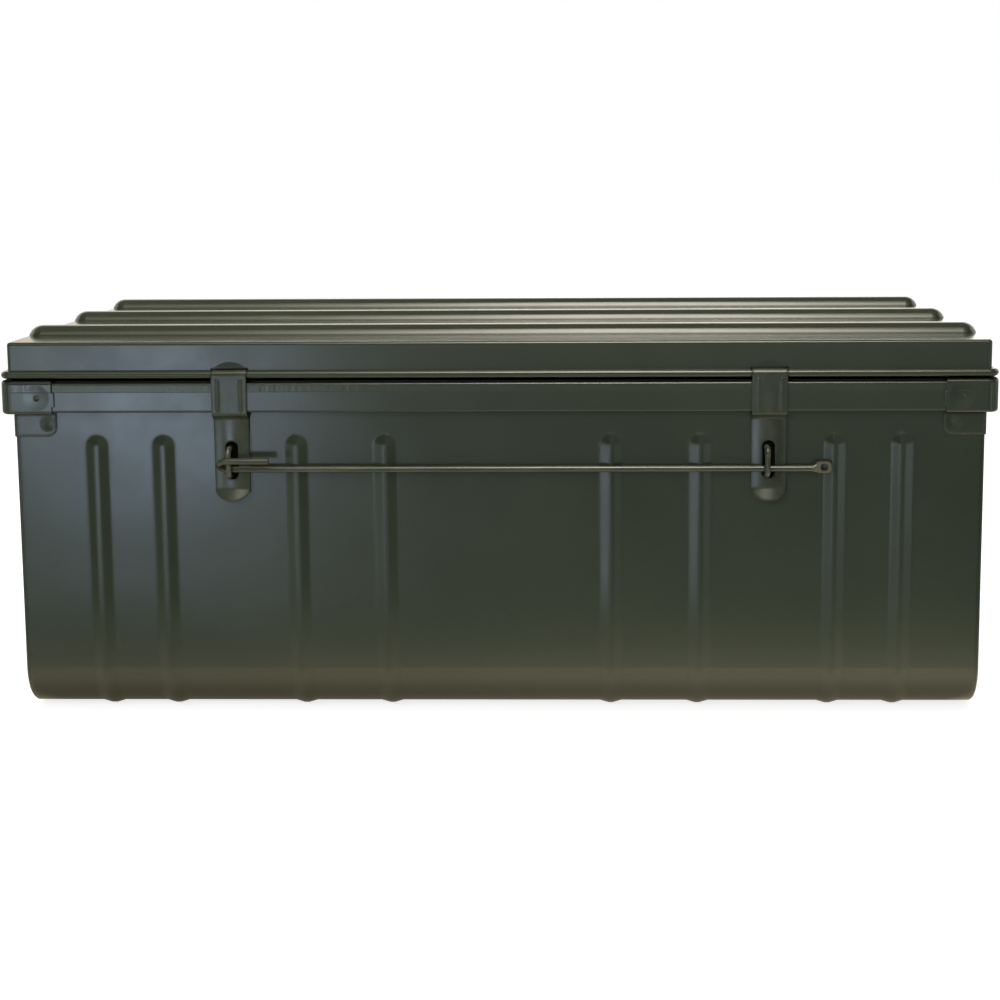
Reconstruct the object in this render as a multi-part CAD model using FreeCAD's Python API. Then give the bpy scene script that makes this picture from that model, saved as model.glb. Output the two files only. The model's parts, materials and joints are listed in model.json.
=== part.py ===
"""Lift-lid steel storage trunk with two hasps and a sliding locking rod.

Millimetres, +Z up, front towards -Y. The origin lies on the floor, in the middle of the footprint.
"""
import FreeCAD
import Part
import os
from math import atan2, cos, sin, sqrt, tan

# Overall sizes, measured over the corner caps
trunk_width = 1000.0
trunk_depth = 500.0

# Sheet gauges
sheet = 0.8
cap_sheet = 1.5
hasp_sheet = 1.5
plate_sheet = 1.0
gusset_sheet = 1.2
clip_sheet = 1.5

# Heights: the rim rail above the floor, the others measured from it
rail_bottom = 314.2
wire_rise = 8.2
lid_wall = 32.4
rib_end_gap = 24.0

# Body shell
bottom_radius = 45.0
fold_radius = 3.0
flange_width = 12.0
body_rib_width = 22.5
body_rib_crest = 4.2
body_rib_height = 2.6
body_rib_bend = 4.0
body_rib_shares = (0.2278, 0.4074, 0.6772, 0.812)

# Rim rail round the body
rail_reach = 10.0
rail_height = 30.0
rail_fold_drop = 9.5
rail_lean = 0.25
rail_lip = 6.0
rail_bend = 1.2

# Corner caps and gussets
cap_leg = 53.0
cap_corner = 12.0
cap_edge = 3.2
cap_fit = 0.3
cap_rise = 1.0
cap_tab = 2.4
cap_tab_shares = (0.2, 0.68)
gusset_leg = 43.0
gusset_height = 24.0
gusset_corner = 10.0
gusset_edge = 0.8

# Spot welds: a pit in a wider dish of drawn-in sheet
cap_weld_share = 0.71
cap_pit_radius = 4.0
cap_pit_depth = 0.7
cap_dish_radius = 13.0
cap_dish_depth = 0.3
gusset_weld_inset = 10.0
gusset_weld_drop = 11.1
gusset_pit_radius = 2.6
gusset_pit_depth = 0.5
gusset_dish_radius = 8.0
gusset_dish_depth = 0.2

# Lid
lid_seat_gap = 0.3
lid_edge = 3.0
wire_radius = 2.95
curl_gap = 0.1
wire_corner = 7.0
lid_rib_spacing_share = 0.3356
lid_rib_base = 31.0
lid_rib_crest = 3.0
lid_rib_height = 10.9
lid_rib_margin = 1.3
notch_side_gap = 1.0
notch_rise = 6.0
relief_rise = 6.4
relief_inset = 2.25
relief_height = 1.0

# Hasps and hinge straps on the lid wire
hasp_place_share = 0.54
hasp_shift = 1.8
hasp_width = 35.5
hasp_gap = 0.4
hasp_bend = 1.5
knuckle_gap = 0.08
knuckle_drop = 1.5
rail_pass = 1.5
joggle_drop = 6.0
leg_bow = 2.1
flare_drop = 12.0
flare_reach = 5.0
hasp_tip_rise = 9.5
slot_side_gap = 3.4
slot_head_gap = 22.5
slot_foot_gap = 10.5
ridge_inset = 6.15
ridge_radius = 2.2
ridge_height = 1.0
ridge_foot_gap = 2.5
ridge_head_gap = 6.0
strap_foot = 2.5
strap_corner = 5.0

# Staples and their plates
plate_side = 3.25
plate_head = 11.8
plate_foot = 17.1
plate_corner = 5.0
staple_radius = 2.9
staple_reach = 17.4
staple_bend = 6.5
staple_height = 33.3
staple_head_gap = 3.9
staple_foot_gap = 1.3

# Locking rod
rod_radius = 3.3
rod_seat_gap = 0.3
rod_stand_off = 2.5
rod_pass = 0.4
rod_return_rise = 10.3
rod_bend_overhang = 0.9
rod_return_run = 42.4
eye_overhang = 57.0
eye_back = 8.5
eye_front = 7.0
eye_half_height = 5.7
eye_rise = 1.2
eye_corner = 3.6
eye_hole = 4.0
eye_thickness = 3.4
eye_neck = 2.5

# End handles
bail_radius = 4.0
bail_gap = 0.3
bail_fit = 0.1
bail_leg_place = 52.0
bail_stub = 25.0
bail_drop = 58.0
bail_bend = 10.0
bail_below_rail = 52.2
clip_width = 12.0
clip_flange = 12.0

# Extra length that takes every cut clear through
overrun = 2.0
# Straight pieces shorter than this are left out of a rounded path
shortest_run = 0.001

# Places that follow from the sizes above
wall_x = trunk_width / 2 - cap_sheet - rail_reach
wall_y = trunk_depth / 2 - cap_sheet - rail_reach
rail_x = wall_x + rail_reach
rail_y = wall_y + rail_reach
rail_top = rail_bottom + rail_height
wire_height = rail_top + wire_rise
lid_top = wire_height + lid_wall
rib_end_height = rail_bottom - rib_end_gap
bail_height = rail_bottom - bail_below_rail
floor_face = body_rib_height
body_rib_places = [share * trunk_width / 2 for share in body_rib_shares]
lid_rib_spacing = lid_rib_spacing_share * trunk_depth
hasp_place = hasp_place_share * trunk_width / 2
lip_top = lid_top - sheet - lid_seat_gap
curl_bore = wire_radius + curl_gap
curl_radius = curl_bore + sheet
knuckle_bore = wire_radius + knuckle_gap
wire_x = rail_x + hasp_gap - knuckle_bore
wire_y = rail_y + hasp_gap - knuckle_bore
lid_inner_x = wire_x - curl_radius
lid_inner_y = wire_y - curl_radius
joggle_end = rail_bottom - rail_pass - joggle_drop
slot_high = joggle_end - slot_head_gap
staple_high = slot_high - staple_head_gap - staple_radius
staple_low = staple_high - staple_height + 2 * staple_radius
slot_low = staple_low - staple_radius - staple_foot_gap
slot_half_width = staple_radius + slot_side_gap
flare_start = slot_low - slot_foot_gap
hasp_tip = flare_start - flare_drop
hasp_length = rail_bottom - hasp_tip
flare_lean = atan2(flare_reach, flare_drop)
bow_radius = ((hasp_width / 2) ** 2 + leg_bow ** 2) / (2 * leg_bow)
ridge_place = hasp_width / 2 - ridge_inset
plate_half_width = hasp_width / 2 + plate_side
plate_top = slot_high + plate_head
plate_bottom = slot_low - plate_foot
plate_face = wall_y + plate_sheet
staple_front = plate_face + staple_reach - staple_radius
hasp_low_face = plate_face + hasp_gap
rod_y = hasp_low_face + hasp_sheet + rod_stand_off + rod_radius
rod_z = staple_low + staple_radius + rod_seat_gap + rod_radius
return_y = staple_front + staple_radius + rod_pass + rod_radius
return_z = rod_z + rod_return_rise
rod_bend_place = -hasp_place - rod_bend_overhang
rod_return_end = rod_bend_place + rod_return_run
eye_place = hasp_place + eye_overhang
bail_x = wall_x + bail_gap + bail_radius
clip_bore = bail_radius + bail_fit
front_reach = return_y + rod_radius
rear_reach = wire_y + knuckle_bore + hasp_sheet
footprint_shift = (front_reach - rear_reach) / 2

across = FreeCAD.Vector(1, 0, 0)
inward = FreeCAD.Vector(0, 1, 0)
upward = FreeCAD.Vector(0, 0, 1)
origin = FreeCAD.Vector(0, 0, 0)
quarter_turn = 90
half_turn = 180
full_turn = 360


def vec(x, y, z):
    return FreeCAD.Vector(x, y, z)


def rounded_corner(before, corner, after, radius):
    """Start, middle and end of the arc that rounds one corner of a path."""
    back = (before - corner).normalize()
    ahead = (after - corner).normalize()
    half_angle = back.getAngle(ahead) / 2
    start = corner + back * (radius / tan(half_angle))
    end = corner + ahead * (radius / tan(half_angle))
    centre = corner + (back + ahead).normalize() * (radius / sin(half_angle))
    middle = centre + (corner - centre).normalize() * radius
    return start, middle, end


def rounded_path(points, radii, closed=False):
    """Edges through the points, each corner rounded by its radius; a radius of 0 keeps it sharp."""
    last = len(points) - 1
    stops = []
    for i, radius in enumerate(radii):
        if radius > 0 and (closed or 0 < i < last):
            stops.append(rounded_corner(points[i - 1], points[i], points[(i + 1) % len(points)], radius))
        else:
            stops.append((points[i], None, points[i]))
    edges = []
    for i, (start, middle, end) in enumerate(stops):
        if middle is not None:
            edges.append(Part.Arc(start, middle, end).toShape())
        following = stops[(i + 1) % len(stops)][0]
        if (closed or i < last) and (following - end).Length > shortest_run:
            edges.append(Part.LineSegment(end, following).toShape())
    return edges


def outline_face(points, radii):
    return Part.Face(Part.Wire(rounded_path(points, radii, closed=True)))


def bent_sheet(points, bend, thickness, normal):
    """Section of a bent sheet: one skin runs through the points, the other lies on its left."""
    runs = [(b - a).normalize() for a, b in zip(points, points[1:])]
    lefts = [normal.cross(run) for run in runs]
    skin_radii = [0]
    back_radii = [0]
    back = [points[0] + lefts[0] * thickness]
    for i in range(1, len(runs)):
        share = 1 / (1 + lefts[i - 1].dot(lefts[i]))
        back.append(points[i] + (lefts[i - 1] + lefts[i]) * (thickness * share))
        turns_left = runs[i - 1].cross(runs[i]).dot(normal) > 0
        skin_radii.append(bend + thickness if turns_left else bend)
        back_radii.append(bend if turns_left else bend + thickness)
    back.append(points[-1] + lefts[-1] * thickness)
    edges = rounded_path(points, skin_radii + [0])
    edges.append(Part.LineSegment(points[-1], back[-1]).toShape())
    edges += rounded_path(back[::-1], [0] + back_radii[::-1])
    edges.append(Part.LineSegment(back[0], points[0]).toShape())
    return Part.Face(Part.Wire(Part.__sortEdges__(edges)))


def block(x, y, z):
    """Box between two limits along each axis."""
    return Part.makeBox(x[1] - x[0], y[1] - y[0], z[1] - z[0], vec(x[0], y[0], z[0]))


def rounded_rectangle(half_x, half_y, corner, z):
    """Level outline centred on the trunk, its corners rounded."""
    points = [vec(-half_x, -half_y, z), vec(half_x, -half_y, z),
              vec(half_x, half_y, z), vec(-half_x, half_y, z)]
    return Part.Wire(rounded_path(points, [corner] * len(points), closed=True))


def rounded_block(half_x, half_y, corner, z):
    """Upright block with its four standing edges rounded, centred on the trunk."""
    return Part.Face(rounded_rectangle(half_x, half_y, corner, z[0])).extrude(upward * (z[1] - z[0]))


def cylinder_across(radius, x, y, z):
    """Cylinder along X between two limits."""
    return Part.makeCylinder(radius, x[1] - x[0], vec(x[0], y, z), across)


def bent_rod(points, bends, radius):
    """Round rod along a path with bent corners."""
    edges = rounded_path(points, bends)
    ring = Part.Wire(Part.makeCircle(radius, points[0], points[1] - points[0]))
    return Part.Wire(edges).makePipeShell([ring], True, False)


def to_corner(shape, side_x, side_y):
    """Copy of a piece made at the rear right corner, mirrored to another corner."""
    if side_x < 0:
        shape = shape.mirror(origin, across)
    if side_y < 0:
        shape = shape.mirror(origin, inward)
    return shape


def edges_where(shape, test):
    return [edge for edge in shape.Edges if test(edge.BoundBox)]


def near(a, b):
    return abs(a - b) < shortest_run


# Body shell: one sheet bent round front, bottom and back, and two flanged end panels


def rib_section(shrink, base, place, half):
    """Section of a pressed rib. The place function puts (across, outward) into space."""
    flank_run = (body_rib_width - body_rib_crest) / 2
    slope = atan2(body_rib_height, flank_run)
    crest = body_rib_height - shrink
    top = body_rib_crest / 2 - shrink * tan(slope / 2)
    width = top + (crest - base) / tan(slope)
    bend = body_rib_bend - shrink
    right = [place(width, base), place(top, crest)]
    if half:
        return outline_face([place(0, base)] + right + [place(0, crest)], [0, 0, bend, 0])
    return outline_face([place(-width, base)] + right + [place(-top, crest)], [0, 0, bend, bend])


def body_rib(shrink, base):
    """Pressed rib that runs down the front, under the bottom and up the back, with domed ends."""
    bend_low = floor_face + bottom_radius
    dome_centre = rib_end_height - body_rib_width / 2
    bend_y = wall_y - bottom_radius

    def on_front(u, v):
        return vec(u, -wall_y - v, bend_low)

    def at_dome(u, v):
        return vec(u, -wall_y - v, dome_centre)

    def on_bottom(u, v):
        return vec(u, -bend_y, floor_face - v)

    front_section = rib_section(shrink, base, on_front, False)
    upright = front_section.extrude(upward * (dome_centre - bend_low))
    corner = front_section.revolve(vec(0, -bend_y, bend_low), across, quarter_turn)
    dome = rib_section(shrink, base, at_dome, True)
    dome = dome.revolve(vec(0, 0, dome_centre), inward, full_turn)
    under = rib_section(shrink, base, on_bottom, False).extrude(inward * (2 * bend_y))
    front = [upright, corner, dome]
    back = [piece.mirror(origin, inward) for piece in front]
    return under.fuse(front + back)


def body_wrap():
    end_x = wall_x - fold_radius
    skin = [vec(-end_x, -wall_y, lip_top), vec(-end_x, -wall_y, floor_face),
            vec(-end_x, wall_y, floor_face), vec(-end_x, wall_y, lip_top)]
    wrap = bent_sheet(skin, bottom_radius - sheet, sheet, across).extrude(across * (2 * end_x))
    raised = body_rib(0, -sheet / 2)
    hollow = body_rib(sheet, -sheet - overrun)
    places = [side * place for side in (-1, 1) for place in body_rib_places]
    wrap = wrap.fuse([raised.translated(across * place) for place in places])
    wrap = wrap.cut([hollow.translated(across * place) for place in places])
    return wrap.removeSplitter()


def pan_block(inset, fold, x, top):
    """Block of the end panel's outline, lying inset from the outer skin of the body shell."""
    half = wall_y - inset
    low = floor_face + inset
    points = [vec(x[0], -half, low), vec(x[0], half, low), vec(x[0], half, top), vec(x[0], -half, top)]
    radius = bottom_radius - inset
    pan = outline_face(points, [radius, radius, 0, 0]).extrude(across * (x[1] - x[0]))
    outer_edges = edges_where(pan, lambda box: near(box.XMin, x[1]) and near(box.XMax, x[1]))
    folded = [edge for edge in outer_edges if edge.BoundBox.ZMin < top - fold]
    return pan.makeFillet(fold, folded)


def end_panel(side):
    flange_end = wall_x - flange_width
    pan = pan_block(sheet, fold_radius, (flange_end, wall_x), lip_top)
    inside = (flange_end - overrun, wall_x - sheet)
    hollow = pan_block(2 * sheet, fold_radius - sheet, inside, lip_top + overrun)
    return to_corner(pan.cut(hollow), side, 1)


# Rim rail: a rolled channel on each side, mitred under the corner caps


def rail_envelope():
    corner = cap_corner - cap_sheet + cap_fit
    return rounded_block(rail_x, rail_y, corner, (rail_bottom - overrun, rail_top + rail_lip + overrun))


def rim_rail(run, wall):
    """Rail along X on the side that faces -Y, for a body wall at that distance."""
    outer = wall + rail_reach
    ends = run + rail_reach
    skin = [(wall + sheet, rail_top + rail_lip), (wall + sheet, rail_top), (outer - rail_lean, rail_top),
            (outer, rail_top - rail_fold_drop), (outer, rail_bottom), (wall, rail_bottom),
            (wall, rail_bottom + rail_lip)]
    section = bent_sheet([vec(-ends, -y, z) for y, z in skin], rail_bend, sheet, across)
    near_x, near_y = run - overrun, overrun - wall
    far_x, far_y = ends + overrun, -outer - overrun
    low = rail_bottom - overrun
    plan = [vec(-near_x, near_y, low), vec(near_x, near_y, low),
            vec(far_x, far_y, low), vec(-far_x, far_y, low)]
    mitre = outline_face(plan, [0] * len(plan)).extrude(upward * (rail_height + rail_lip + 2 * overrun))
    return section.extrude(across * (2 * ends)).common(mitre)


def rim_rails():
    front = rim_rail(wall_x, wall_y)
    right = rim_rail(wall_y, wall_x).rotated(origin, upward, quarter_turn)
    rails = {"rim_front": front, "rim_right": right,
             "rim_rear": front.rotated(origin, upward, half_turn),
             "rim_left": right.rotated(origin, upward, half_turn)}
    envelope = rail_envelope()
    return {name: rail.common(envelope) for name, rail in rails.items()}


def weld_mark(place, outward, pit, dish):
    """Tools that press one spot weld into a face: a pit in a wider dish, each of a radius and a depth."""
    tools = []
    for radius, depth in (pit, dish):
        ball = (radius ** 2 + depth ** 2) / (2 * depth)
        tools.append(Part.makeSphere(ball, place + outward * (ball - depth)))
    return tools


def corner_cap():
    """Pressed cap over the rail's rear right corner, spot-welded on both faces."""
    z = (rail_bottom - cap_sheet, rail_top + cap_rise + cap_sheet)
    outer_x, outer_y = rail_x + cap_sheet, rail_y + cap_sheet
    start_x, start_y = outer_x - cap_leg, outer_y - cap_leg
    cap = rounded_block(outer_x, outer_y, cap_corner, z)
    rims = edges_where(cap, lambda box: near(box.ZMin, box.ZMax))
    cap = cap.makeFillet(cap_edge, rims)
    tab_z = [rail_bottom + share * rail_height for share in cap_tab_shares]
    keep = block((start_x, outer_x), (start_y, outer_y), z)
    keep = keep.fuse([block((start_x - cap_tab, outer_x), (start_y, outer_y), tab_z),
                      block((start_x, outer_x), (start_y - cap_tab, outer_y), tab_z)])
    inside = rounded_block(rail_x, rail_y, cap_corner - cap_sheet, (rail_bottom, rail_top + cap_rise))
    core_x = wall_x + sheet + rail_bend + cap_fit
    core_y = wall_y + sheet + rail_bend + cap_fit
    core = block((-core_x, core_x), (-core_y, core_y), (z[0] - overrun, z[1] + overrun))
    weld_run = cap_weld_share * cap_leg
    middle = rail_bottom + rail_height / 2
    pit, dish = (cap_pit_radius, cap_pit_depth), (cap_dish_radius, cap_dish_depth)
    welds = weld_mark(vec(outer_x - weld_run, outer_y, middle), inward, pit, dish)
    welds += weld_mark(vec(outer_x, outer_y - weld_run, middle), across, pit, dish)
    return cap.common(keep).cut([inside, core] + welds)


def corner_gusset():
    """Corner plate under the cap, wrapped round the body's standing edge."""
    top = rail_bottom - cap_sheet
    low = top - gusset_height
    outer_x, outer_y = wall_x + gusset_sheet, wall_y + gusset_sheet
    wrap = rounded_block(outer_x, outer_y, fold_radius + gusset_sheet, (low, top))
    core = rounded_block(wall_x, wall_y, fold_radius, (low - overrun, top + overrun))
    start_x, start_y = wall_x - gusset_leg, wall_y - gusset_leg
    on_back = [vec(start_x, 0, low), vec(outer_x, 0, low), vec(outer_x, 0, top), vec(start_x, 0, top)]
    on_end = [vec(0, start_y, low), vec(0, outer_y, low), vec(0, outer_y, top), vec(0, start_y, top)]
    corners = [gusset_corner, 0, 0, 0]
    back_leaf = outline_face(on_back, corners).extrude(inward * outer_y)
    end_leaf = outline_face(on_end, corners).extrude(across * outer_x)
    plate = wrap.cut(core).common(back_leaf).common(end_leaf)

    def on_rim(box):
        outside = near(box.XMax, outer_x) or near(box.YMax, outer_y)
        on_skin = near(box.XMin, outer_x) or near(box.YMin, outer_y) or near(box.ZMax, low)
        standing = near(box.ZMin, low) and near(box.ZMax, top)
        return outside and on_skin and not standing and not near(box.ZMin, top)

    plate = plate.makeFillet(gusset_edge, edges_where(plate, on_rim))
    weld_x, weld_y = start_x + gusset_weld_inset, start_y + gusset_weld_inset
    weld_z = top - gusset_weld_drop
    pit, dish = (gusset_pit_radius, gusset_pit_depth), (gusset_dish_radius, gusset_dish_depth)
    welds = weld_mark(vec(weld_x, outer_y, weld_z), inward, pit, dish)
    welds += weld_mark(vec(outer_x, weld_y, weld_z), across, pit, dish)
    return plate.cut(welds)


# Lid: a pressed pan with three ribs, its edge curled round a steel wire


def lid_rib_section(shrink, half):
    """Section of a lid rib from the sheet's inner face up, whole or its right half alone."""
    low = lid_top - sheet - shrink
    top = lid_top + lid_rib_height - shrink
    crest = lid_rib_crest / 2
    run = lid_rib_base / 2 - crest
    arch = (run ** 2 + lid_rib_height ** 2) / (2 * lid_rib_height) - shrink
    centre = top - arch
    foot_run = sqrt(arch ** 2 - (low - centre) ** 2)
    aim = vec(0, foot_run, low - centre + arch).normalize()
    middle_y, middle_z = crest + arch * aim.y, centre + arch * aim.z
    right_top, right_foot = vec(0, crest, top), vec(0, crest + foot_run, low)
    flank = Part.Arc(right_top, vec(0, middle_y, middle_z), right_foot)
    if half:
        left_top, left_foot = vec(0, 0, top), vec(0, 0, low)
        left = Part.LineSegment(left_foot, left_top)
    else:
        left_top, left_foot = vec(0, -right_top.y, top), vec(0, -right_foot.y, low)
        left = Part.Arc(left_foot, vec(0, -middle_y, middle_z), left_top)
    curves = [left, Part.LineSegment(left_top, right_top), flank, Part.LineSegment(right_foot, left_foot)]
    return Part.Face(Part.Wire([curve.toShape() for curve in curves]))


def lid_rib(shrink):
    """Half-round rib on the lid with a domed end at each side, or the hollow under it."""
    dome_x = lid_inner_x + sheet - lid_rib_margin - lid_rib_base / 2
    bar = lid_rib_section(shrink, False).extrude(across * (2 * dome_x)).translated(across * -dome_x)
    dome = lid_rib_section(shrink, True).revolve(origin, upward, full_turn)
    return bar.fuse([dome.translated(across * x) for x in (-dome_x, dome_x)])


def lid_pan(inset, edge, z):
    """Solid of the lid's outline, its top edges rounded."""
    corner = wire_corner - curl_radius + sheet - inset
    pan = rounded_block(lid_inner_x + sheet - inset, lid_inner_y + sheet - inset, corner, z)
    rims = edges_where(pan, lambda box: near(box.ZMin, z[1]))
    return pan.makeFillet(edge, rims)


def wire_loop(radius):
    """Closed loop of round bar along the lid's edge."""
    run_x, run_y = wire_x - wire_corner, wire_y - wire_corner
    pieces = []
    for side in (-1, 1):
        pieces.append(cylinder_across(radius, (-run_x, run_x), side * wire_y, wire_height))
        pieces.append(Part.makeCylinder(radius, 2 * run_y, vec(side * wire_x, -run_y, wire_height), inward))
    centre = vec(run_x, run_y, wire_height)
    bend = Part.makeTorus(wire_corner, radius, centre, upward, 0, full_turn, quarter_turn)
    pieces += [to_corner(bend, side_x, side_y) for side_x in (-1, 1) for side_y in (-1, 1)]
    return pieces[0].fuse(pieces[1:]).removeSplitter()


def lid_notch(place, side_y):
    """Room for one knuckle in the lid's curled edge."""
    half = hasp_width / 2 + notch_side_gap
    y = sorted((side_y * (lid_inner_y - overrun), side_y * (wire_y + curl_radius + overrun)))
    z = (wire_height - curl_radius - overrun, wire_height + notch_rise)
    return block((place - half, place + half), y, z)


def lid_reliefs(shrink, depth):
    """Shallow domes pressed out of the front wall. Each shows as a half moon above a hasp's notch."""
    half = hasp_width / 2 + notch_side_gap - relief_inset
    rim = (half ** 2 + relief_rise ** 2) / (2 * relief_rise)
    ball = (rim ** 2 + relief_height ** 2) / (2 * relief_height)
    wall = lid_inner_y + sheet
    foot = wire_height + notch_rise
    middle_z = foot + relief_rise - rim
    reliefs = []
    for place in (hasp_shift - hasp_place, hasp_shift + hasp_place):
        dome = Part.makeSphere(ball - shrink, vec(place, ball - relief_height - wall, middle_z))
        room = block((place - rim, place + rim), (-wall - relief_height, depth - wall),
                     (foot, middle_z + rim))
        reliefs.append(dome.common(room))
    return reliefs


def lid_panel():
    skin = lid_pan(0, lid_edge, (wire_height, lid_top))
    skin = skin.fuse(lid_reliefs(0, sheet / 2))
    hollow = lid_pan(sheet, lid_edge - sheet, (wire_height - overrun, lid_top - sheet))
    places = [inward * (step * lid_rib_spacing) for step in (-1, 0, 1)]
    rib = lid_rib(0)
    core = lid_rib(sheet)
    skin = skin.fuse([rib.translated(place) for place in places])
    hollows = [hollow] + [core.translated(place) for place in places]
    pan = skin.cut(hollows + lid_reliefs(sheet, sheet + overrun))
    curl = wire_loop(curl_radius).cut(wire_loop(curl_bore))
    notches = []
    for side in (-1, 1):
        notches += [lid_notch(side * hasp_place + hasp_shift, -1), lid_notch(side * hasp_place, 1)]
    return pan.fuse(curl).cut(notches).removeSplitter()


# Straps that turn on the lid wire: hasps in front, hinges at the back


def strap_on_wire(place, skin, foot_corner, foot):
    """Strap of the given section with a knuckle round the front lid wire."""
    left = place - hasp_width / 2
    right = place + hasp_width / 2
    section = bent_sheet([vec(left, -y, z) for y, z in skin], hasp_bend, hasp_sheet, across * -1)
    strap = section.extrude(across * hasp_width)
    knuckle = cylinder_across(knuckle_bore + hasp_sheet, (left, right), -wire_y, wire_height)
    bore = cylinder_across(knuckle_bore, (left - overrun, right + overrun), -wire_y, wire_height)
    top = wire_height + knuckle_bore + hasp_sheet + overrun
    return strap.fuse(knuckle).cut(bore).common(strap_outline(place, foot, top, foot_corner))


def ridge(place):
    """Upright pressed ridge on the hasp's upper part."""
    face = rail_y + hasp_gap + hasp_sheet
    y = ridge_radius - ridge_height - face
    low, high = rail_bottom + ridge_foot_gap, wire_height - ridge_head_gap
    bar = Part.makeCylinder(ridge_radius, high - low, vec(place, y, low), upward)
    ends = [Part.makeSphere(ridge_radius, vec(place, y, z)) for z in (low, high)]
    keep = block((place - ridge_radius, place + ridge_radius), (-face - ridge_height, hasp_sheet / 2 - face),
                 (low - ridge_radius, high + ridge_radius))
    return bar.fuse(ends).common(keep)


def strap_outline(place, foot, top, corner):
    """Prism of a strap's front outline, its two lower corners rounded."""
    left = place - hasp_width / 2
    right = place + hasp_width / 2
    points = [vec(left, -trunk_depth, foot), vec(right, -trunk_depth, foot),
              vec(right, -trunk_depth, top), vec(left, -trunk_depth, top)]
    return outline_face(points, [corner, corner, 0, 0]).extrude(inward * trunk_depth)


def bow_cylinder(place, radius, lean):
    """Cylinder behind the hasp that its bowed leg lies on, or its flare where the axis leans."""
    axis = vec(0, sin(lean), cos(lean))
    mitre = vec(place, bow_radius - leg_bow - hasp_low_face, flare_start - tan(flare_lean / 2) * bow_radius)
    return Part.makeCylinder(radius, 2 * hasp_length, mitre - axis * hasp_length, axis)


def tongue_outline(place):
    """Prism of the hasp's front outline, with its lower end on one arc."""
    left = place - hasp_width / 2
    right = place + hasp_width / 2
    shoulder = hasp_tip + hasp_tip_rise
    points = [vec(left, -trunk_depth, shoulder), vec(left, -trunk_depth, wire_height),
              vec(right, -trunk_depth, wire_height), vec(right, -trunk_depth, shoulder)]
    edges = [Part.LineSegment(a, b).toShape() for a, b in zip(points, points[1:])]
    edges.append(Part.Arc(points[-1], vec(place, -trunk_depth, hasp_tip), points[0]).toShape())
    return Part.Face(Part.Wire(edges)).extrude(inward * trunk_depth)


def hasp_leg(place):
    """Lower leg of the hasp, bowed across its width, with its thumb flare and the slot for the staple."""
    back = hasp_low_face
    front = back + leg_bow + hasp_sheet + flare_reach + overrun
    side = place - hasp_width / 2
    joggle_slope = joggle_drop / (rail_y + hasp_gap - hasp_low_face)
    mitre_front = vec(side, -front, flare_start + tan(flare_lean / 2) * (front - back))
    mitre_back = vec(side, -back, flare_start)
    joggle_front = vec(side, -front, joggle_end + joggle_slope * (front - back))
    above = [mitre_back, mitre_front, joggle_front, vec(side, -back, joggle_end)]
    below = [mitre_back, mitre_front, vec(side, -front, hasp_tip), vec(side, -back, hasp_tip)]
    parts = []
    for profile, lean in ((above, 0), (below, flare_lean)):
        outer = bow_cylinder(place, bow_radius + hasp_sheet, lean)
        bowed = outer.cut(bow_cylinder(place, bow_radius, lean))
        room = outline_face(profile, [0] * len(profile)).extrude(across * hasp_width)
        parts.append(bowed.common(room))
    leg = parts[0].fuse(parts[1]).common(tongue_outline(place))
    left, right = place - slot_half_width, place + slot_half_width
    hole = [vec(left, -front, slot_low), vec(right, -front, slot_low),
            vec(right, -front, slot_high), vec(left, -front, slot_high)]
    slot = outline_face(hole, [slot_half_width] * len(hole)).extrude(inward * (front - back + overrun))
    return leg.cut(slot)


def hasp(side):
    place = side * hasp_place + hasp_shift
    upper = wire_y + knuckle_bore
    skin = [(upper, wire_height), (upper, rail_bottom - rail_pass), (hasp_low_face, joggle_end)]
    strap = strap_on_wire(place, skin, 0, joggle_end - hasp_sheet)
    strap = strap.cut(bow_cylinder(place, bow_radius, 0)).fuse(hasp_leg(place))
    return strap.fuse([ridge(place - ridge_place), ridge(place + ridge_place)]).removeSplitter()


def hinge_strap(side):
    foot = rail_bottom + strap_foot
    skin = [(wire_y + knuckle_bore, wire_height), (wire_y + knuckle_bore, wire_height - knuckle_drop),
            (rail_y, rail_top + rail_pass), (rail_y, foot)]
    return to_corner(strap_on_wire(side * hasp_place, skin, strap_corner, foot), 1, -1)


# Closing gear on the front: plates, staples and the rod through them


def staple_plate(side):
    left = side * hasp_place - plate_half_width
    right = side * hasp_place + plate_half_width
    points = [vec(left, -plate_face, plate_bottom), vec(right, -plate_face, plate_bottom),
              vec(right, -plate_face, plate_top), vec(left, -plate_face, plate_top)]
    return outline_face(points, [plate_corner] * len(points)).extrude(inward * plate_sheet)


def staple(side):
    x = side * hasp_place
    points = [vec(x, -plate_face, staple_high), vec(x, -staple_front, staple_high),
              vec(x, -staple_front, staple_low), vec(x, -plate_face, staple_low)]
    return bent_rod(points, [0, staple_bend, staple_bend, 0], staple_radius)


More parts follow.
